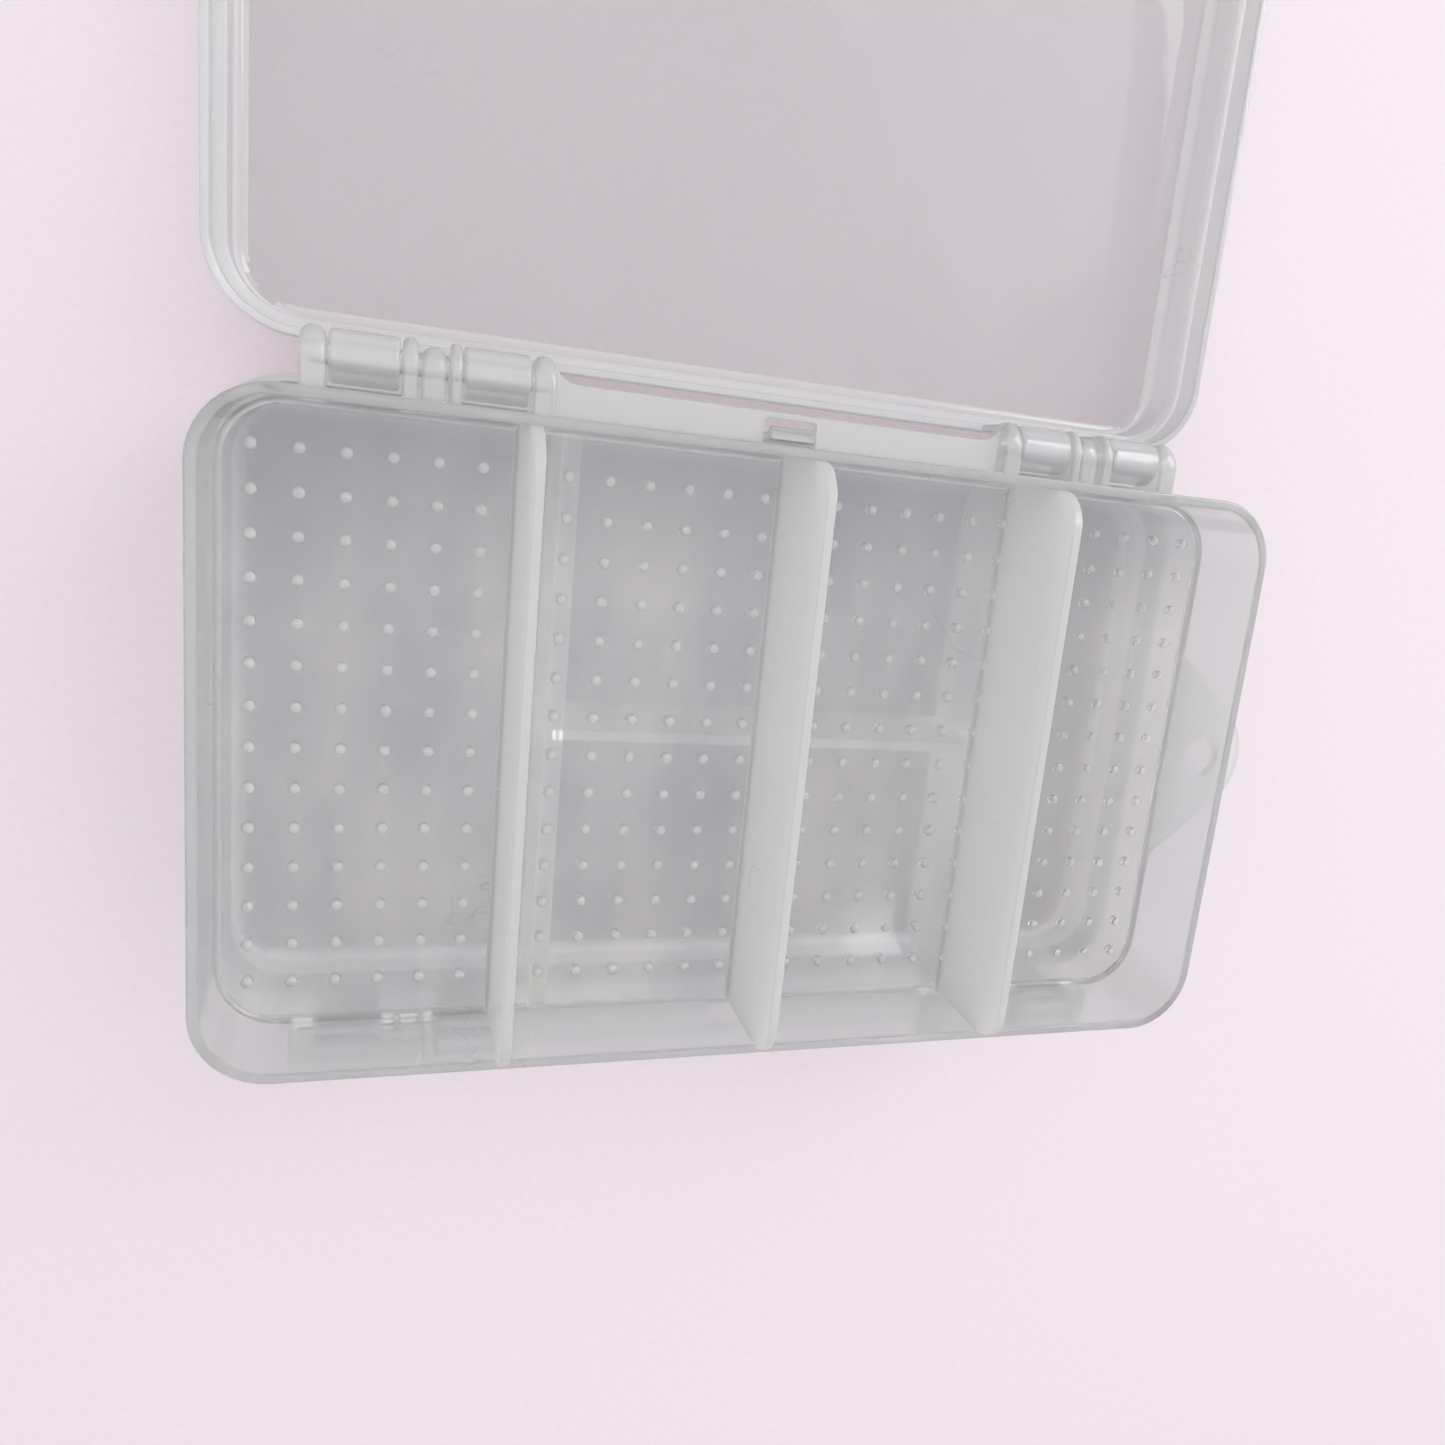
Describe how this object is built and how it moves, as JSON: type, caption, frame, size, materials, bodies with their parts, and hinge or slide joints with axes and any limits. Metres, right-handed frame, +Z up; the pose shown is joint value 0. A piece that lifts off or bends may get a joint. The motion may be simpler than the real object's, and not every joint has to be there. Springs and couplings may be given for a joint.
{
  "type": "two-sided compartment case",
  "caption": "Two-sided clear plastic parts case: a dimpled tray with dividers on each face, hinged snap lids and a hanging tab.",
  "frame": {"origin": "centre of the lower lid's outer face, which the case rests on", "axes": "+Z up out of the upper tray, +Y towards the upper lid's hinge, +X towards the hanging tab"},
  "size_m": [0.1492, 0.1738, 0.0408],
  "materials": {
    "case_plastic": "milky translucent polypropylene, satin gloss",
    "divider_plastic": "milky translucent polypropylene, satin",
    "lid_plastic": "clear translucent polypropylene, gloss",
    "latch_plastic": "milky translucent polypropylene, satin gloss",
    "pin_plastic": "milky translucent plastic rod, satin"
  },
  "bodies": {
    "case": {"case_body": "case_plastic", "upper_divider_left": "divider_plastic", "upper_divider_centre": "divider_plastic", "upper_divider_right": "divider_plastic", "lower_divider_left": "divider_plastic", "lower_divider_right": "divider_plastic", "lower_cross_wall": "divider_plastic", "upper_hinge_pin_left": "pin_plastic", "upper_hinge_pin_right": "pin_plastic", "lower_hinge_pin_left": "pin_plastic", "lower_hinge_pin_right": "pin_plastic"},
    "upper_lid": {"upper_lid": "lid_plastic"},
    "upper_latch": {"upper_latch": "latch_plastic"},
    "lower_lid": {"lower_lid": "lid_plastic"},
    "lower_latch": {"lower_latch": "latch_plastic"}
  },
  "joints": [
    {"name": "upper_lid_hinge", "type": "hinge", "parent": "case", "child": "upper_lid", "pos_m": [0, 0.043, 0.0214], "axis": [1, 0, 0], "range_deg": [0, 180]},
    {"name": "lower_lid_hinge", "type": "hinge", "parent": "case", "child": "lower_lid", "pos_m": [0, -0.043, 0.0214], "axis": [-1, 0, 0], "range_deg": [0, 180]},
    {"name": "upper_latch_flex", "type": "hinge", "parent": "upper_lid", "child": "upper_latch", "pos_m": [0, 0.12635, 0.01005], "axis": [-1, 0, 0], "range_deg": [0, 3], "stiffness_Nm_per_rad": 0.5},
    {"name": "lower_latch_flex", "type": "hinge", "parent": "lower_lid", "child": "lower_latch", "pos_m": [0, 0.04035, 0.01005], "axis": [-1, 0, 0], "range_deg": [0, 3], "stiffness_Nm_per_rad": 0.5}
  ]
}
